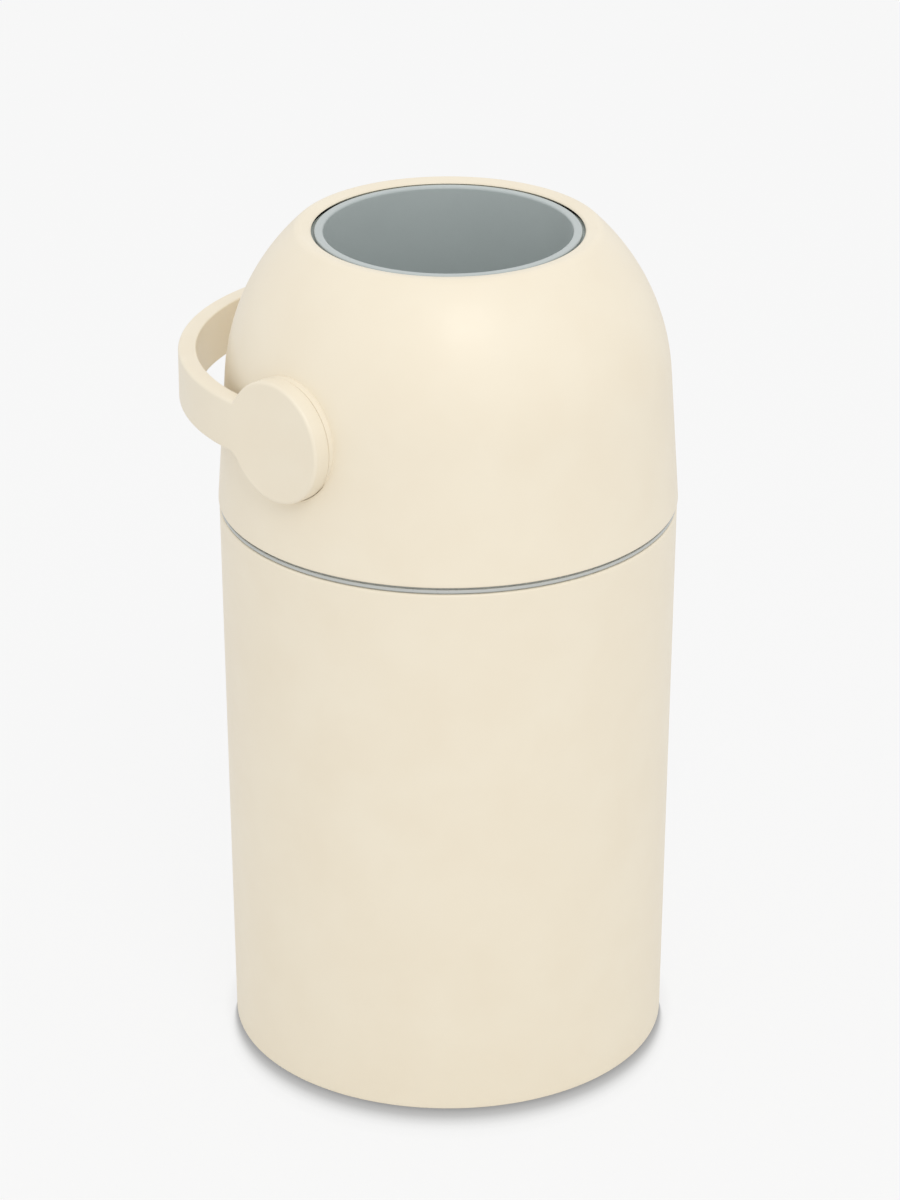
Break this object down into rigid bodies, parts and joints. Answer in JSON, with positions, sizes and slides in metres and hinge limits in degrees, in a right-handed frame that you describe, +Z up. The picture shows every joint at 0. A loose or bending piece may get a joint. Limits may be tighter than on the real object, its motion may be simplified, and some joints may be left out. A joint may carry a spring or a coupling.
{
  "type": "nappy bin",
  "caption": "Round free-standing nappy bin with a domed lid, a turning ball drum with an open cup, and a bail handle that turns it over.",
  "frame": {"origin": "centre of the base pad's underside, on the floor", "axes": "+Z up along the body's axis; X along the drum's axle; the handle rests towards +Y, so -Y is the front"},
  "size_m": [0.2686, 0.289, 0.4903],
  "materials": {
    "cream_plastic": "satin moulded",
    "grey_plastic": "satin moulded",
    "drum_plastic": "satin moulded",
    "bush_plastic": "smooth low-friction",
    "rubber": "matte",
    "steel": "zinc plated"
  },
  "bodies": {
    "body": {"body_shell": "cream_plastic", "base_pad": "rubber"},
    "ring": {"bag_ring": "grey_plastic"},
    "lid": {"dome_shell": "cream_plastic", "lid_liner": "grey_plastic", "liner_screws": "steel", "lid_gasket": "rubber", "throat_seal": "rubber", "mouth_seal": "rubber", "bush_left": "bush_plastic", "bush_right": "bush_plastic"},
    "drum": {"drum_cup": "grey_plastic", "drum_upper": "drum_plastic", "drum_lower": "drum_plastic", "axle_left": "steel", "axle_right": "steel", "axle_screws": "steel", "handle": "cream_plastic", "handle_screws": "steel", "handle_washers": "steel"}
  },
  "joints": [
    {"name": "ring_lift", "type": "slide", "parent": "body", "child": "ring", "axis": [0, 0, 1], "range_m": [0, 0.06]},
    {"name": "lid_lift", "type": "slide", "parent": "ring", "child": "lid", "axis": [0, 0, 1], "range_m": [0, 0.16]},
    {"name": "drum_turn", "type": "hinge", "parent": "lid", "child": "drum", "pos_m": [0, 0, 0.4], "axis": [1, 0, 0], "range_deg": [0, 180]}
  ]
}
